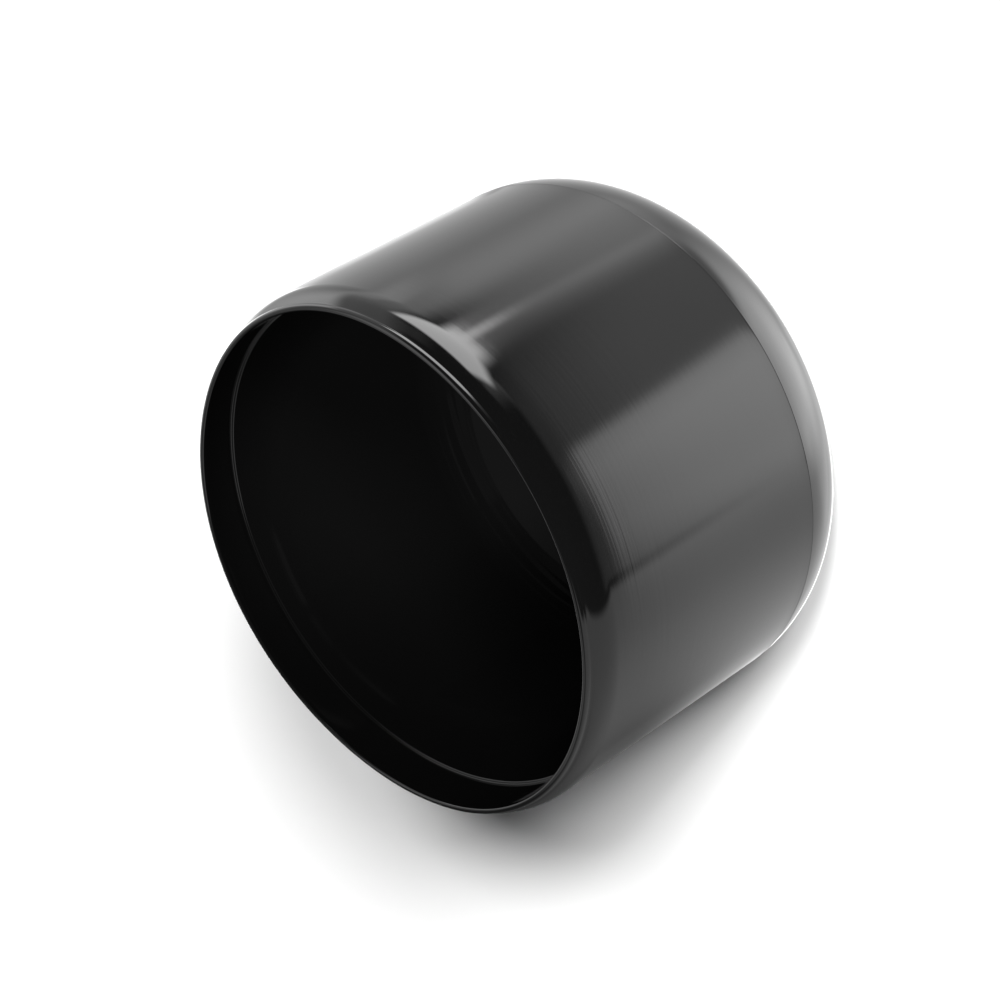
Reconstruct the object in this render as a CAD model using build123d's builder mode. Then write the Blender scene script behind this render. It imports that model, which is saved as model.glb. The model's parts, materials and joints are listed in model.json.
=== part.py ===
from build123d import *

import os
from math import degrees, asin, radians, tan

# Round end cap, moulded in one piece from soft plastic. It is pushed over the end of a tube.
# Sizes are in millimetres. The cap stands on its closed end: the origin is the middle of that
# face, and +Z runs along the axis to the mouth. The section is drawn as radius and height.

# The tube that the cap grips
tube_diameter = 50.0

# Body
height = 40.9  # from the closed face to the edge of the mouth
wall = 1.6  # just below the shoulder, where the body is thinnest
draft_angle = 0.57  # degrees, by which the body widens towards its closed end

# Closed end, with a large round corner
corner_radius = 10.0
end_wall = 2.0

# Parting line of the mould, a fine ridge where the body meets the rounded end
parting_drop = 0.25  # from the level of the corner's centre down to the ridge
ridge_height = 0.05  # above the foot of the body
ridge_step = 0.03  # above the rounded end
ridge_flank = 0.12  # each of its two flanks, along the axis

# Outside of the mouth: the shoulder curves in to a bevelled land, which ends in the edge
shoulder_height = 3.4
land_height = 0.49
land_wall = 0.63
edge_width = 0.2

# Inside of the mouth: the lip is relieved, and a small step leads down into the bore
edge_relief = 0.05
lip_relief = 0.2
lip_height = 5.5
step_height = 0.5

# Radii
bore_radius = tube_diameter / 2
body_radius = bore_radius + wall
land_radius = bore_radius + land_wall
lip_radius = bore_radius + lip_relief
edge_inner_radius = bore_radius + edge_relief
edge_outer_radius = edge_inner_radius + edge_width

# Heights
land_foot = height - land_height
shoulder_foot = land_foot - shoulder_height
lip_foot = height - lip_height
bore_top = lip_foot - step_height
ridge_foot = corner_radius - parting_drop
ridge_crest = ridge_foot + ridge_flank
body_foot = ridge_crest + ridge_flank

# Closed end, outside and inside. The inner corner is smaller by the wall.
body_foot_radius = body_radius + (shoulder_foot - body_foot) * tan(radians(draft_angle))
crest_radius = body_foot_radius + ridge_height
corner_top_radius = crest_radius - ridge_step
corner_turn = 90 - degrees(asin(parting_drop / corner_radius))
end_face_radius = corner_top_radius - (corner_radius**2 - parting_drop**2) ** 0.5
inner_corner_radius = corner_radius - wall
floor_radius = bore_radius - inner_corner_radius
bore_foot = end_wall + inner_corner_radius

# The cap is one section, turned about the axis.
with BuildPart() as end_cap:
    with BuildSketch(Plane.XZ):
        with BuildLine():
            # Closed end and its rounded corner, which stops just short of a full quarter turn
            Line((0, 0), (end_face_radius, 0))
            corner = CenterArc((end_face_radius, corner_radius), corner_radius, 270, corner_turn)
            # Parting line: a gentle flank from the end up to the crest, and a steep one to the body
            Line(corner @ 1, (crest_radius, ridge_crest))
            Line((crest_radius, ridge_crest), (body_foot_radius, body_foot))
            # Drafted body, and the shoulder that runs on from it
            body = Line((body_foot_radius, body_foot), (body_radius, shoulder_foot))
            TangentArc((body_radius, shoulder_foot), (land_radius, land_foot), tangent=body % 1)
            # Land, and the thin edge of the mouth
            Line((land_radius, land_foot), (edge_outer_radius, height))
            Line((edge_outer_radius, height), (edge_inner_radius, height))
            # Inside of the lip, and the step down into the bore
            Line((edge_inner_radius, height), (lip_radius, lip_foot))
            Line((lip_radius, lip_foot), (bore_radius, bore_top))
            Line((bore_radius, bore_top), (bore_radius, bore_foot))
            # Inner corner and floor
            CenterArc((floor_radius, bore_foot), inner_corner_radius, 270, 90)
            Line((floor_radius, end_wall), (0, end_wall))
            Line((0, end_wall), (0, 0))
        make_face()
    revolve(axis=Axis.Z)

end_cap.part.label = "end_cap"

os.makedirs("parts", exist_ok=True)
export_step(end_cap.part, "parts/end_cap.step")
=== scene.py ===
import json
from math import atan2, cos, pi, radians, sin

import bpy
from mathutils import Matrix, Vector


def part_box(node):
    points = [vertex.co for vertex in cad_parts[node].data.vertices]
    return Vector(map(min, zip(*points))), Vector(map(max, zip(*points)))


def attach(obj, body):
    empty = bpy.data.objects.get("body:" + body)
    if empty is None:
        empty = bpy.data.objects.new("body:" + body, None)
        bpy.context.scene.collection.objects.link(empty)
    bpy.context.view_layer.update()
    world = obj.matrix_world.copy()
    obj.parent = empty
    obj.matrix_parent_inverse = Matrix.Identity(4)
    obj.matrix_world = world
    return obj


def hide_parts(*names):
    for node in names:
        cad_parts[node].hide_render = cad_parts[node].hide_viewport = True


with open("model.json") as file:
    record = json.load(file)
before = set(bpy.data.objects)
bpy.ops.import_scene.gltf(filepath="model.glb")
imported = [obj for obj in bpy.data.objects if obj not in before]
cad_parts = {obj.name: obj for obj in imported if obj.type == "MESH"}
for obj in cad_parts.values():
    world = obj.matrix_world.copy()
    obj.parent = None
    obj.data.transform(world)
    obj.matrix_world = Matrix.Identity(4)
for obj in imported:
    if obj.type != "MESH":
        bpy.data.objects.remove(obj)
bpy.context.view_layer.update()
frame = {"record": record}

# Lengths are in metres, as the frame's are. The cap stands on its closed end, its axis is Z, and a
# bearing goes round that axis from -Y, the side of the camera, towards +X.
MM = 0.001

# Camera: the photograph is taken from above the mouth's side, with the camera turned on its side
CAMERA_PLACE = Vector((0.0, -193.35, 176.07)) * MM
CAMERA_AIM = Vector((-0.24, -0.07, 24.15)) * MM
CAMERA_ROLL = radians(-120.82)
CAMERA_LENS = 91.84
CAMERA_SENSOR = 36.0
CAMERA_REACH = (10 * MM, 10)

# Outside of the cap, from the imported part. The mesh stays a hair inside the part's box.
BOX_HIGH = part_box("end_cap")[1]
BORE = next(m for m in frame["record"]["mounts"] if m["name"] == "tube_bore")
HAIR = 0.003 * MM
CREST_RADIUS = BOX_HIGH.x - HAIR
BORE_RADIUS = BORE["dims"]["r_mm"] * MM

# Body and closed end. The crest of the parting line is the widest place of the cap, and the insets
# are measured in from it. The round corner ends a little below level, in degrees.
WALL = 1.6 * MM
BODY_RADIUS = BORE_RADIUS + WALL
CORNER = 10.0 * MM
CORNER_INSET = 0.006 * MM
CORNER_END = -1.2
END_WALL = 2.0 * MM
SEAM_HEIGHT = 9.85 * MM
BODY_FOOT_INSET = 0.020 * MM
BODY_FOOT_RISE = 0.3 * MM

# Mouth. Its edge is wavy, so its mean height is below the part's highest point.
MEAN_TOP = BOX_HIGH.z - 0.80 * MM
LAND_HEIGHT = 0.47 * MM
LAND_RADIUS = BORE_RADIUS + 0.68 * MM
SHOULDER_FOOT = MEAN_TOP - 3.1 * MM

# Inside: the relieved lip, the groove and the rounded step under it, and the mould's faint step
RING_HEIGHT = MEAN_TOP - 4.9 * MM
LIP_RADIUS = BORE_RADIUS + 0.2 * MM
LIP_START = (BORE_RADIUS + 0.01 * MM, MEAN_TOP - 0.2 * MM)
GROOVE = 0.1 * MM
STEP_ROUND = 0.12 * MM
MOULD_STEP = 0.03 * MM

SIDES = 360
SMOOTH_ANGLE = radians(50)


def arc(centre, radius, start, end, steps):
    """Points (radius, height) on an arc, at angles in degrees from outwards towards up."""
    turns = [radians(start + (end - start) * i / steps) for i in range(steps + 1)]
    return [(centre[0] + radius * cos(a), centre[1] + radius * sin(a)) for a in turns]


def run(start, end, steps):
    """Points on a straight line, without its first one."""
    return [
        (start[0] + (end[0] - start[0]) * i / steps, start[1] + (end[1] - start[1]) * i / steps)
        for i in range(1, steps + 1)
    ]


def closed_end_line():
    """From the flat face round the corner, up to the parting line."""
    top_radius = CREST_RADIUS - CORNER_INSET
    return arc((top_radius - CORNER, CORNER), CORNER, -90, CORNER_END, 36)


def parting_line():
    """A fine ridge: a gentle flank on the closed end's side, and a steep one on the body's side."""
    # how far in from the crest and how far up from the seam, in millimetres
    gentle = [(0.0075, -0.025), (0.0, 0.015)]
    steep = [(0.002, 0.024), (0.008, 0.031), (0.012, 0.045), (0.013, 0.065)]
    return [(CREST_RADIUS - inset * MM, SEAM_HEIGHT + up * MM) for inset, up in gentle + steep]


def body_line():
    """The drafted body, from just above the parting line to the foot of the shoulder."""
    foot = (CREST_RADIUS - BODY_FOOT_INSET, SEAM_HEIGHT + BODY_FOOT_RISE)
    return [foot] + run(foot, (BODY_RADIUS, SHOULDER_FOOT), 24)


def shoulder_line():
    """Curves in from the body to the corner of the land."""
    rise = MEAN_TOP - LAND_HEIGHT - SHOULDER_FOOT
    inset = BODY_RADIUS - LAND_RADIUS
    radius = (rise * rise + inset * inset) / (2 * inset)
    turn = atan2(rise, radius - inset) * 180 / pi
    return arc((BODY_RADIUS - radius, SHOULDER_FOOT), radius, 0, turn, 18)[1:]


def edge_line():
    """The mouth's edge, out to in: a low steep wall, and the slightly crowned top of the lip."""
    # how far out from the bore and how far down from the mean top, in millimetres
    wall = [(0.67, 0.42), (0.665, 0.38), (0.655, 0.335), (0.637, 0.27), (0.61, 0.20)]
    lip = [(0.58, 0.15), (0.55, 0.11), (0.50, 0.065), (0.42, 0.024), (0.34, 0.006), (0.26, 0.0)]
    inner = [(0.18, 0.0), (0.11, 0.018), (0.05, 0.075)]
    return [(BORE_RADIUS + out * MM, MEAN_TOP - down * MM) for out, down in wall + lip + inner]


def lip_line():
    """Down the relieved lip, round the groove at its foot, and over the step's rounded edge."""
    groove = (LIP_RADIUS, RING_HEIGHT + 2 * GROOVE)
    step = (BORE_RADIUS + STEP_ROUND, RING_HEIGHT + GROOVE - STEP_ROUND)
    lip = [LIP_START] + run(LIP_START, (LIP_RADIUS, RING_HEIGHT + 5 * GROOVE), 10)
    return lip + arc(groove, GROOVE, 0, -90, 3) + arc(step, STEP_ROUND, 90, 180, 4)


def bore_line(start):
    """Down the bore and round the inner corner to the floor."""
    corner = CORNER - WALL
    centre = (BORE_RADIUS - corner, END_WALL + corner)
    bore = run(start, (BORE_RADIUS, centre[1]), 8)
    upper = arc(centre, corner, 0, -27, 11)
    lower = arc(centre, corner, -28, -90, 25)
    mould_step = (upper[-1][0] - MOULD_STEP, upper[-1][1] - MOULD_STEP)
    return bore + upper[1:] + [mould_step] + lower[1:]


def section():
    """The whole section, from the closed face over the mouth to the floor inside."""
    outside = closed_end_line() + parting_line() + body_line() + shoulder_line() + edge_line()
    lip = lip_line()
    return outside + lip + bore_line(lip[-1])


def ring_out(point, last):
    """Extrudes the selected face to the next ring of the section."""
    bpy.ops.mesh.extrude_region_move(
        TRANSFORM_OT_translate={"value": (0, 0, point[1] - last[1])}
    )
    scale = point[0] / last[0]
    bpy.ops.transform.resize(value=(scale, scale, 1), center_override=(0, 0, point[1]))


def turn_cap():
    """One closed skin: a disc for the flat face, extruded ring by ring up the outside, over the edge
    of the mouth and down the inside, where it ends as the floor."""
    bpy.ops.object.select_all(action="DESELECT")
    line = section()
    bpy.ops.mesh.primitive_circle_add(
        vertices=SIDES, radius=line[0][0], fill_type="NGON", location=(0, 0, 0)
    )
    cap = bpy.context.object
    cap.name = cap.data.name = "soft_plastic_cap"
    bpy.ops.object.mode_set(mode="EDIT")
    bpy.ops.mesh.select_all(action="SELECT")
    for last, point in zip(line, line[1:]):
        ring_out(point, last)
    bpy.ops.mesh.select_all(action="SELECT")
    bpy.ops.mesh.normals_make_consistent(inside=False)
    bpy.ops.object.mode_set(mode="OBJECT")
    return cap


def smoothstep(low, high, value):
    t = min(max((value - low) / (high - low), 0), 1)
    return t * t * (3 - 2 * t)


# Unevenness of the mouth: how far its edge rises and sinks round the cap, in one, two and three
# waves. Each has its height and the bearing of its first crest. They fade out down the outside.
EDGE_WAVES = (
    (1, 0.59 * MM, radians(-56)),
    (2, 0.20 * MM, radians(-25.2)),
    (3, 0.146 * MM, radians(37.1)),
)
WAVES_FOOT = 28 * MM
EDGE_OVAL = 0.08 * MM

# The step inside the mouth is tilted, and the tilt fades out down the bore
RING_TILT = 0.40 * MM
RING_TILT_BEARING = radians(111.7)
TILT_FOOT = 20 * MM


def bearing_of(point):
    return atan2(point.x, -point.y)


def shape_mouth(cap):
    """Moves the mouth's vertices up and down and in and out, as the soft edge of the real cap is."""
    for vertex in cap.data.vertices:
        place = vertex.co
        bearing = bearing_of(place)
        radius = Vector((place.x, place.y)).length
        edge = smoothstep(WAVES_FOOT, MEAN_TOP, place.z)
        squeeze = smoothstep(SHOULDER_FOOT - MM, MEAN_TOP, place.z)
        if radius < BORE_RADIUS + 0.5 * WALL:
            edge = smoothstep(RING_HEIGHT, MEAN_TOP, place.z)
            ring = smoothstep(TILT_FOOT, RING_HEIGHT - MM, place.z) * (1 - edge)
            place.z += ring * RING_TILT * cos(bearing - RING_TILT_BEARING)
        rise = sum(high * cos(n * (bearing - crest)) for n, high, crest in EDGE_WAVES)
        place.z += edge * rise
        oval = 1 - squeeze * EDGE_OVAL * cos(2 * bearing) / BORE_RADIUS
        place.x *= oval
        place.y *= oval


def finish_cap(cap):
    bpy.ops.object.select_all(action="DESELECT")
    cap.select_set(True)
    bpy.context.view_layer.objects.active = cap
    bpy.ops.object.shade_smooth_by_angle(angle=SMOOTH_ANGLE)


def new_material(name):
    """A material and its main shader."""
    material = bpy.data.materials.new(name)
    material.use_nodes = True
    return material, material.node_tree.nodes["Principled BSDF"]


# Turning marks in the gloss: how many there are in a metre, across and up, and their depth
MARKS_PER_METRE = (30, 30, 3500)
MARKS_DEPTH = 0.0013 * MM


def black_plastic():
    """Semi-gloss black plastic with faint marks that run round the cap."""
    material, shader = new_material("black_plastic")
    nodes = material.node_tree.nodes
    links = material.node_tree.links
    shader.inputs["Base Color"].default_value = (0.0007, 0.0007, 0.0007, 1)
    shader.inputs["Roughness"].default_value = 0.07
    shader.inputs["IOR"].default_value = 1.5
    place = nodes.new("ShaderNodeTexCoord")
    round_marks = nodes.new("ShaderNodeMapping")
    round_marks.inputs["Scale"].default_value = MARKS_PER_METRE
    links.new(place.outputs["Object"], round_marks.inputs["Vector"])
    marks = nodes.new("ShaderNodeTexNoise")
    marks.inputs["Scale"].default_value = 1.0
    marks.inputs["Detail"].default_value = 3.0
    links.new(round_marks.outputs["Vector"], marks.inputs["Vector"])
    bump = nodes.new("ShaderNodeBump")
    bump.inputs["Strength"].default_value = 1.0
    bump.inputs["Distance"].default_value = MARKS_DEPTH
    links.new(marks.outputs["Fac"], bump.inputs["Height"])
    links.new(bump.outputs["Normal"], shader.inputs["Normal"])
    return material


# Studio light, seen as a sky round the cap. Each card is a patch of light with soft edges: its
# brightness, the bearings and elevations that it spans in degrees, and half the width of each edge's
# fade, in the order from, to.
SKY_LEVEL = 0.08
CARDS = (
    # the table, up to its far edge
    (0.85, (-180, 180), (0.1, 0.1), (-91, -40), (0.5, 2.6)),
    (0.10, (-180, 180), (0.1, 0.1), (-91, -40), (0.5, 9)),
    # brighter places on the table, at the left and behind
    (0.25, (-145, -52), (38, 40), (-91, -41.5), (0.5, 2.5)),
    (0.16, (-180, -82), (8, 30), (-77, -43), (12, 5)),
    (1.25, (-177, -158), (4, 4), (-56, -41.5), (5, 1.4)),
    (0.06, (-175, -142), (5, 6), (-41, -29), (1, 3)),
    (0.35, (-128, -70), (10, 10), (-72, -57), (5, 4)),
    (0.28, (-182, -130), (6, 12), (-78, -67), (5, 3)),
    # brighter places on the table, in front and at the right
    (0.80, (57, 101), (8, 12), (-52, -38.4), (9, 0.6)),
    (0.24, (-51, 42), (1.5, 20), (-41.5, -25), (1, 8)),
    (4.70, (62, 66.5), (2, 2), (-39.0, -38.0), (0.55, 0.3)),
    (0.33, (61, 67), (4, 3), (-44, -39.2), (2, 0.8)),
    # wall on the left
    (0.80, (-117, -55), (34, 2.5), (-41, 60), (2, 10)),
    (0.06, (-150, -100), (8, 30), (-91, 0), (1, 20)),
    # wall on the right
    (0.85, (81, 180), (7, 5), (-40, 32), (2.5, 7)),
    (0.25, (84, 108), (5, 6), (-38.2, -12), (0.5, 8)),
    (0.36, (96.5, 110), (2.5, 5), (-38.0, -19), (0.5, 5)),
    (0.30, (152, 180), (4, 6), (-40.8, -37), (0.7, 1)),
    # a dark strip along the far edge of the table, and a bright place above it
    (-0.50, (152, 176), (3, 6), (-42.6, -40.9), (0.8, 0.3)),
    (2.10, (148, 182), (5.5, 8), (-35.4, -14), (1.7, 9)),
    # the glow to the left of the lamp in front, and the one above it
    (0.75, (32, 39), (9, 3), (-28, 2), (4, 4)),
    (0.25, (66, 80), (6, 4), (0, 17), (3, 4)),
    # bright places high up, at the right and behind
    (2.10, (108, 132), (4, 27), (-16, 12), (14, 10)),
    (1.40, (98, 172), (12, 5), (38, 66), (8, 8)),
    (0.60, (185, 215), (3, 8), (34, 56), (5, 8)),
)

# Lights with straight sides. Each has its brightness, the bearing and elevation that its plane faces,
# its lowest and its highest elevation, each with half the width of its fade, and its sides. A side has
# the way it faces in the plane, in degrees from up towards the right, its distance from the plane's
# middle, and half the width of its fade, both as shares of the distance from the cap.
PATCHES = (
    # two that lie on the table below
    (
        1.55, (0, -90), (-91, 0.5), (-38.62, 0.12),
        ((-81, 1.09, 0.29), (59, 0.66, 0.065), (-148, 0.11, 0.43), (112, 0.02, 0.27)),
    ),
    (
        2.0, (0, -90), (-91, 0.5), (-1, 0.5),
        ((-29, 1.01, 0.5), (-67, 0.91, 0.26), (54.5, 0.67, 0.17), (-137, 0.18, 0.17), (146, 0.02, 0.27)),
    ),
    # a bright lamp at the right, in front, with the table's edge before its foot
    (
        6.9, (61, -19), (-38.0, 0.12), (90, 0.5),
        ((-126, 0.32, 0.075), (-68, 0.45, 0.08), (15, 0.30, 0.05), (116, 0.30, 0.06)),
    ),
)
# A patch fades out where its plane is seen nearly edge-on: the sine of that angle, and half the
# width of the fade
EDGE_ON = (0.06, 0.04)


class Sky:
    """Builds the world's nodes, with sums and products of plain numbers."""

    def __init__(self, world):
        world.use_nodes = True
        self.nodes = world.node_tree.nodes
        self.links = world.node_tree.links

    def math(self, operation, *values):
        node = self.nodes.new("ShaderNodeMath")
        node.operation = operation
        for socket, value in zip(node.inputs, values):
            if isinstance(value, (int, float)):
                socket.default_value = value
            else:
                self.links.new(value, socket)
        return node.outputs["Value"]

    def dot(self, direction, fixed):
        node = self.nodes.new("ShaderNodeVectorMath")
        node.operation = "DOT_PRODUCT"
        self.links.new(direction, node.inputs[0])
        node.inputs[1].default_value = fixed
        return node.outputs["Value"]

    def fade(self, value, middle, half_width, start, end):
        """start below the middle, end above it, and a smooth change between them."""
        node = self.nodes.new("ShaderNodeMapRange")
        node.interpolation_type = "SMOOTHSTEP"
        self.links.new(value, node.inputs["Value"])
        node.inputs["From Min"].default_value = middle - half_width
        node.inputs["From Max"].default_value = middle + half_width
        node.inputs["To Min"].default_value = start
        node.inputs["To Max"].default_value = end
        return node.outputs["Result"]

    def card(self, bearing, elevation, level, bearings, side_fades, elevations, end_fades):
        """Light from one card, in every direction."""
        middle = (bearings[0] + bearings[1]) / 2
        half = (bearings[1] - bearings[0]) / 2
        turn = self.math("WRAP", self.math("SUBTRACT", bearing, middle), 180, -180)
        light = self.fade(turn, -half, side_fades[0], 0, level)
        if half < 180:
            light = self.math("MULTIPLY", light, self.fade(turn, half, side_fades[1], 1, 0))
        lower = self.fade(elevation, elevations[0], end_fades[0], 0, 1)
        upper = self.fade(elevation, elevations[1], end_fades[1], 1, 0)
        return self.math("MULTIPLY", light, self.math("MULTIPLY", lower, upper))

    def patch(self, direction, elevation, level, facing, foot, head, sides):
        """Light from a flat patch with straight sides."""
        across, along = radians(facing[0]), radians(facing[1])
        out = Vector((sin(across) * cos(along), -cos(across) * cos(along), sin(along)))
        up = Vector((-sin(across) * sin(along), cos(across) * sin(along), cos(along)))
        right = Vector((cos(across), sin(across), 0))
        depth = self.dot(direction, out)
        light = self.fade(depth, *EDGE_ON, 0, level)
        light = self.math("MULTIPLY", light, self.fade(elevation, *foot, 0, 1))
        light = self.math("MULTIPLY", light, self.fade(elevation, *head, 1, 0))
        for turn, reach, blur in sides:
            side = up * cos(radians(turn)) + right * sin(radians(turn))
            share = self.math("DIVIDE", self.dot(direction, side), depth)
            light = self.math("MULTIPLY", light, self.fade(share, reach, blur, 1, 0))
        return light


def studio_sky():
    """The sky is only mirrored in the gloss. The lamps light the floor and what is matt."""
    world = bpy.data.worlds.new("studio")
    bpy.context.scene.world = world
    sky = Sky(world)
    place = sky.nodes.new("ShaderNodeTexCoord")
    direction = place.outputs["Generated"]
    axes = sky.nodes.new("ShaderNodeSeparateXYZ")
    sky.links.new(direction, axes.inputs["Vector"])
    towards = sky.math("MULTIPLY", axes.outputs["Y"], -1)
    bearing = sky.math("MULTIPLY", sky.math("ARCTAN2", axes.outputs["X"], towards), 180 / pi)
    elevation = sky.math("MULTIPLY", sky.math("ARCSINE", axes.outputs["Z"]), 180 / pi)
    light = sky.math("ADD", SKY_LEVEL, 0)
    for card in CARDS:
        light = sky.math("ADD", light, sky.card(bearing, elevation, *card))
    for patch in PATCHES:
        light = sky.math("ADD", light, sky.patch(direction, elevation, *patch))
    sky.links.new(light, sky.nodes["Background"].inputs["Strength"])
    sky.nodes["Background"].inputs["Color"].default_value = (1, 1, 1, 1)
    world.cycles_visibility.diffuse = False


# Lamps, seen from the cap: the bearing and the elevation of each, the angle that it fills, all in
# degrees, and its strength. Two stand by the camera. A weak, broad one at the right, a little
# behind, lightens the shadow.
LAMPS = (
    ("lamp_left", 22.5, 36.8, 10, 5.1),
    ("lamp_right", 12.3, 25.8, 13, 7.2),
    ("lamp_behind", 112, 28, 50, 0.4),
)
LAMP_DISTANCE = 0.5

# A small lamp at the left, with a narrow beam that only reaches into the mouth
SPOT_AIM = Vector((-1.1 * MM, -1.6 * MM, MEAN_TOP))
SPOT_BEARING = -35
SPOT_ELEVATION = 52
SPOT_DISTANCE = 0.3
SPOT_SIZE = 6 * MM
SPOT_BEAM = radians(7.4)
SPOT_POWER = 31


def hang_lamp(name, data, aim, bearing, elevation, distance):
    """Hangs a lamp and turns it to its aim. It leaves no mirror image of its own on the plastic."""
    turn, rise = radians(bearing), radians(elevation)
    towards = Vector((sin(turn) * cos(rise), -cos(turn) * cos(rise), sin(rise)))
    hung = bpy.data.objects.new(name, data)
    bpy.context.collection.objects.link(hung)
    hung.rotation_mode = "QUATERNION"
    hung.rotation_quaternion = towards.to_track_quat("Z", "Y")
    hung.location = aim + towards * distance
    hung.visible_glossy = False


def soft_lamp(name, bearing, elevation, angle, strength):
    data = bpy.data.lights.new(name, "SUN")
    data.energy = strength
    data.angle = radians(angle)
    hang_lamp(name, data, Vector((0, 0, 0)), bearing, elevation, LAMP_DISTANCE)


def lamp_inside():
    data = bpy.data.lights.new("lamp_inside", "SPOT")
    data.energy = SPOT_POWER
    data.spot_size = SPOT_BEAM
    data.spot_blend = 0.25
    data.shadow_soft_size = SPOT_SIZE
    hang_lamp("lamp_inside", data, SPOT_AIM, SPOT_BEARING, SPOT_ELEVATION, SPOT_DISTANCE)


# Floor and backdrop. The backdrop's foot is a little below the floor.
STAGE_SIDES = 96
FLOOR_RADIUS = 2.5
BACKDROP_RADIUS = 2.4
BACKDROP_HEIGHT = 6
BACKDROP_SINK = 0.1


def pale_floor():
    bpy.ops.object.select_all(action="DESELECT")
    bpy.ops.mesh.primitive_circle_add(
        vertices=STAGE_SIDES, radius=FLOOR_RADIUS, fill_type="NGON", location=(0, 0, 0)
    )
    floor = bpy.context.object
    floor.name = "floor"
    material, shader = new_material("floor_paint")
    shader.inputs["Base Color"].default_value = (0.6, 0.6, 0.6, 1)
    shader.inputs["Roughness"].default_value = 1.0
    shader.inputs["Specular IOR Level"].default_value = 0.0
    floor.data.materials.append(material)
    floor.visible_glossy = False


def backdrop():
    """A white wall far behind the cap, for the views that look over the floor."""
    bpy.ops.object.select_all(action="DESELECT")
    bpy.ops.mesh.primitive_cylinder_add(
        vertices=STAGE_SIDES, radius=BACKDROP_RADIUS, depth=BACKDROP_HEIGHT,
        end_fill_type="NOTHING", location=(0, 0, BACKDROP_HEIGHT / 2 - BACKDROP_SINK),
    )
    wall = bpy.context.object
    wall.name = "backdrop"
    material, shader = new_material("backdrop_paint")
    shader.inputs["Base Color"].default_value = (0, 0, 0, 1)
    shader.inputs["Emission Color"].default_value = (1, 1, 1, 1)
    shader.inputs["Emission Strength"].default_value = 1.1
    wall.data.materials.append(material)
    wall.visible_glossy = False
    wall.visible_diffuse = False
    wall.visible_shadow = False


def camera_turn():
    """Looks from the camera's place at its aim, then rolls the camera about its own axis."""
    back = CAMERA_PLACE - CAMERA_AIM
    upright = back.to_track_quat("Z", "Y").to_matrix()
    return upright @ Matrix.Rotation(CAMERA_ROLL, 3, "Z")


def camera():
    data = bpy.data.cameras.new("camera")
    data.lens = CAMERA_LENS
    data.sensor_width = CAMERA_SENSOR
    data.clip_start, data.clip_end = CAMERA_REACH
    seen = bpy.data.objects.new("camera", data)
    bpy.context.collection.objects.link(seen)
    seen.location = CAMERA_PLACE
    seen.rotation_mode = "QUATERNION"
    seen.rotation_quaternion = camera_turn().to_quaternion()
    bpy.context.scene.camera = seen


bpy.context.scene.view_settings.view_transform = "Standard"
camera()
cap = turn_cap()
shape_mouth(cap)
finish_cap(cap)
cap.data.materials.append(black_plastic())
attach(cap, "root")
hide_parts("end_cap")
studio_sky()
for lamp in LAMPS:
    soft_lamp(*lamp)
lamp_inside()
pale_floor()
backdrop()
